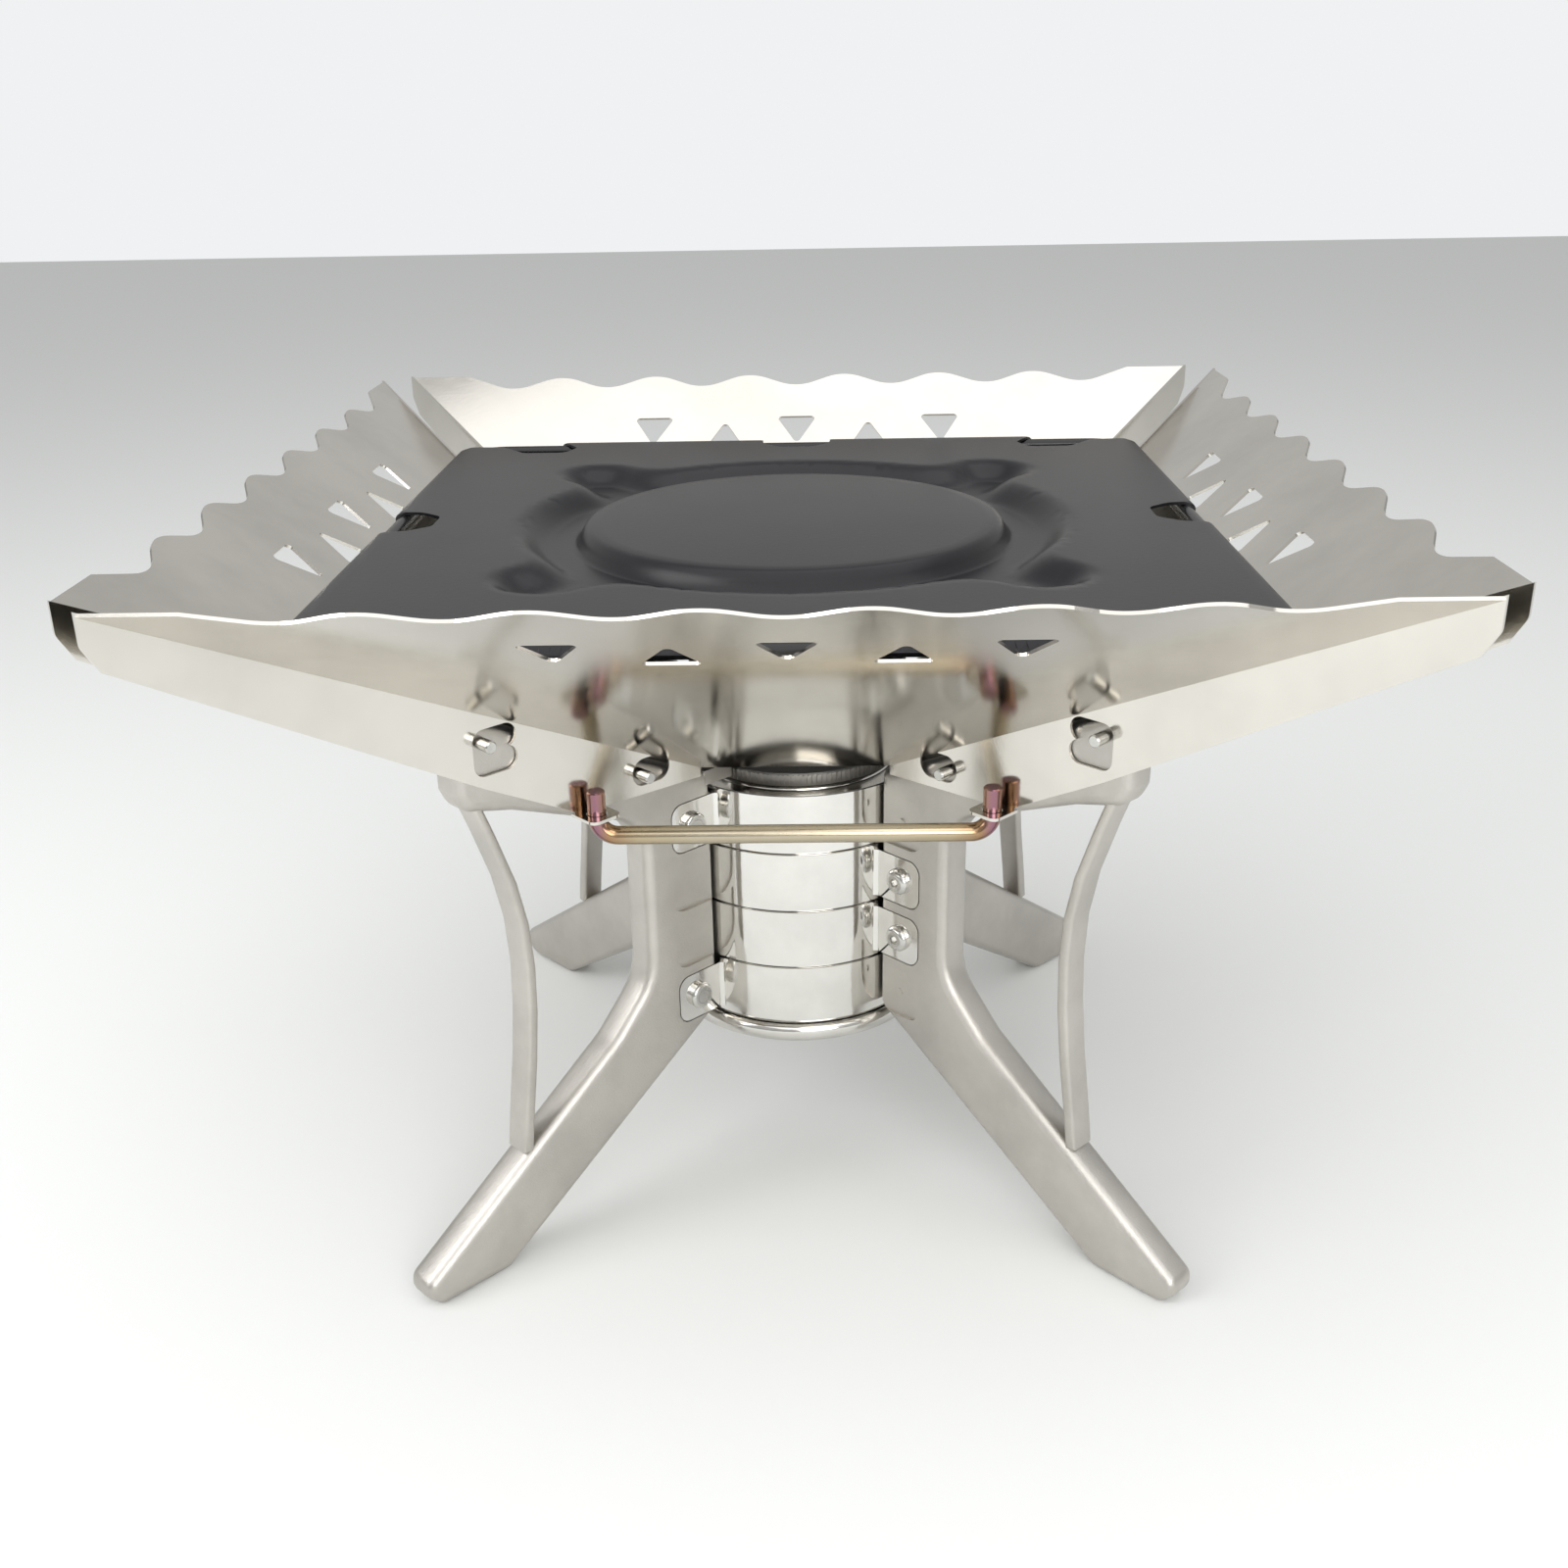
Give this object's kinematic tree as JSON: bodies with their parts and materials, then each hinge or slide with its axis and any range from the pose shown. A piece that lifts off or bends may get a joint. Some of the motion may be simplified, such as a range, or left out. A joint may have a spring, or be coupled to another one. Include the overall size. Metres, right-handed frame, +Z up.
{
  "type": "portable fire pit",
  "caption": "Portable fire pit: four cast K-shaped legs strapped to a steel canister column carry four wavy-edged steel side panels and a black pressed tray.",
  "frame": {"origin": "centre of the footprint, on the ground", "axes": "+Z up along the column, -Y towards the side with the lock rod, +X to the right seen from there"},
  "size_m": [0.3614, 0.3614, 0.2542],
  "materials": {
    "cast_leg": "sandblasted satin",
    "polished_strap": "mirror polished stainless",
    "fastener": "polished stainless",
    "peg": "turned stainless",
    "canister": "polished stainless",
    "panel_steel": "satin rolled stainless",
    "rod_steel": "polished stainless with heat tinted ends",
    "tray_coat": "heat resistant semi gloss black",
    "wire_coat": "gloss black",
    "cap_metal": "sandblasted top, knurled rim",
    "seal": "matt"
  },
  "bodies": {
    "outer_frame": {"leg_front_left": "cast_leg", "leg_rear_right": "cast_leg", "strap_1_front_right": "polished_strap", "strap_1_rear_left": "polished_strap", "strap_4_front_right": "polished_strap", "strap_4_rear_left": "polished_strap", "screws_outer_straps": "fastener", "nuts_outer_straps": "fastener", "pegs_outer_frame": "peg", "canister_tube": "canister", "canister_base": "canister", "neck_ring": "canister"},
    "inner_frame": {"leg_front_right": "cast_leg", "leg_rear_left": "cast_leg", "strap_2_rear_right": "polished_strap", "strap_2_front_left": "polished_strap", "strap_3_rear_right": "polished_strap", "strap_3_front_left": "polished_strap", "screws_inner_straps": "fastener", "nuts_inner_straps": "fastener", "pegs_inner_frame": "peg"},
    "left_panel": {"panel_left": "panel_steel"},
    "right_panel": {"panel_right": "panel_steel"},
    "front_panel": {"panel_front": "panel_steel"},
    "rear_panel": {"panel_rear": "panel_steel"},
    "rod": {"lock_rod": "rod_steel"},
    "tray": {"tray_plate": "tray_coat", "tray_frame": "wire_coat"},
    "seal": {"cap_seal": "seal"},
    "screw_cap": {"cap": "cap_metal"}
  },
  "joints": [
    {"name": "panel_left_off", "type": "slide", "parent": "outer_frame", "child": "left_panel", "axis": [-1, 0, 0], "range_m": [0, 0.725]},
    {"name": "panel_right_off", "type": "slide", "parent": "outer_frame", "child": "right_panel", "axis": [1, 0, 0], "range_m": [0, 0.725]},
    {"name": "panel_front_off", "type": "slide", "parent": "outer_frame", "child": "front_panel", "axis": [0, -1, 0], "range_m": [0, 0.335]},
    {"name": "panel_rear_off", "type": "slide", "parent": "outer_frame", "child": "rear_panel", "axis": [0, 1, 0], "range_m": [0, 0.335]},
    {"name": "frame_fold", "type": "hinge", "parent": "outer_frame", "child": "inner_frame", "pos_m": [0, 0, 0.104], "axis": [0, 0, 1], "range_deg": [0, 64]},
    {"name": "rod_drop", "type": "slide", "parent": "front_panel", "child": "rod", "axis": [0, 0, -1], "range_m": [0, 0.012]},
    {"name": "tray_lift", "type": "slide", "parent": "outer_frame", "child": "tray", "axis": [0, 0, 1], "range_m": [0, 0.15]},
    {"name": "cap_rise", "type": "slide", "parent": "outer_frame", "child": "seal", "axis": [0, 0, 1], "range_m": [0, 0.006]},
    {"name": "cap_turn", "type": "hinge", "parent": "seal", "child": "screw_cap", "pos_m": [0, 0, 0.149], "axis": [0, 0, 1], "range_deg": [0, 720]}
  ],
  "couplings": [
    {"joint": "panel_right_off", "follows": "panel_left_off", "ratio": 1},
    {"joint": "panel_front_off", "follows": "panel_left_off", "ratio": 0.46154},
    {"joint": "panel_rear_off", "follows": "panel_left_off", "ratio": 0.46154},
    {"joint": "frame_fold", "follows": "panel_left_off", "rad_per_m": 1.5385},
    {"joint": "cap_rise", "follows": "cap_turn", "m_per_rad": 0.00047746}
  ]
}
